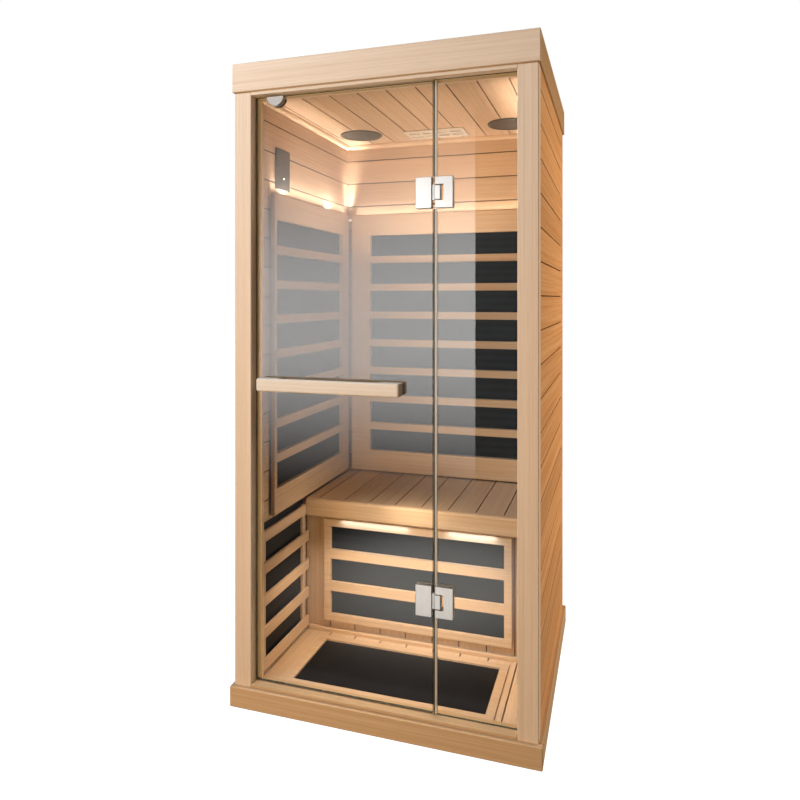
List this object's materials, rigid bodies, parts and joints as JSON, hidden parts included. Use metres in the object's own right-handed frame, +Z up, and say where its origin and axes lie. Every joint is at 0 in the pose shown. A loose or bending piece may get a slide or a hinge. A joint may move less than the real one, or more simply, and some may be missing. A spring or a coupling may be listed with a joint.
{
  "type": "infrared sauna cabin",
  "caption": "Upright wooden infrared sauna cabin with a glass front, a hinged glass door, a bench and dark heating panels behind slatted guards.",
  "frame": {"origin": "on the ground under the middle of the plinth", "axes": "+X to the right seen from the front, +Y to the back wall, +Z up; the glass front faces -Y"},
  "size_m": [0.934, 0.862, 1.95],
  "materials": {
    "softwood": "planed, unvarnished",
    "pale_wood": "sanded smooth",
    "heating_panel": "satin charcoal laminate",
    "clear_glass": "clear toughened",
    "satin_steel": "satin",
    "dark_metal": "satin paint",
    "dark_plastic": "matte",
    "light_strip": "frosted diffuser"
  },
  "bodies": {
    "cabin": {"plinth_front": "softwood", "plinth_left": "softwood", "plinth_right": "softwood", "plinth_back": "softwood", "floor_panel": "softwood", "floor_heater_frame": "softwood", "front_stile_left": "softwood", "front_stile_right": "softwood", "front_top_rail": "softwood", "front_sill": "softwood", "left_wall_panel": "softwood", "left_wall_cladding": "softwood", "right_wall_panel": "softwood", "right_wall_cladding": "softwood", "back_wall_panel": "softwood", "back_wall_cladding": "softwood", "ceiling_panel": "softwood", "roof_cover": "softwood", "cornice_front": "softwood", "cornice_left": "softwood", "cornice_right": "softwood", "cornice_back": "softwood", "bench_seat": "softwood", "bench_nose": "softwood", "bench_skirting": "softwood", "back_heater_guard": "softwood", "left_heater_guard": "softwood", "right_heater_guard": "softwood", "left_calf_guard": "softwood", "right_calf_guard": "softwood", "bench_heater_guard": "softwood", "ceiling_vent": "pale_wood", "floor_heater_panel": "heating_panel", "back_heater_panel": "heating_panel", "left_heater_panel": "heating_panel", "right_heater_panel": "heating_panel", "left_calf_panel": "heating_panel", "right_calf_panel": "heating_panel", "bench_heater_panel": "heating_panel", "fixed_glass": "clear_glass", "upper_hinge_panel_leaf": "satin_steel", "upper_hinge_pin": "satin_steel", "lower_hinge_panel_leaf": "satin_steel", "lower_hinge_pin": "satin_steel", "control_panel": "dark_metal", "power_unit": "dark_metal", "left_speaker": "dark_plastic", "right_speaker": "dark_plastic", "door_catch_magnet": "dark_plastic", "wall_led_strip": "light_strip", "bench_led_strip": "light_strip"},
    "door": {"door_glass": "clear_glass", "upper_hinge_door_leaf": "satin_steel", "lower_hinge_door_leaf": "satin_steel", "handle_outer_bar": "pale_wood", "handle_inner_bar": "pale_wood", "handle_bolt_left": "satin_steel", "handle_bolt_right": "satin_steel", "door_catch_plate": "satin_steel"},
    "button": {"control_button": "satin_steel"}
  },
  "joints": [
    {"name": "door_swing", "type": "hinge", "parent": "cabin", "child": "door", "pos_m": [0.175, -0.39, 0.9625], "axis": [0, 0, 1], "range_deg": [0, 100]},
    {"name": "button_press", "type": "slide", "parent": "cabin", "child": "button", "axis": [-1, 0, 0], "range_m": [0, 0.0012], "stiffness_N_per_m": 300}
  ]
}
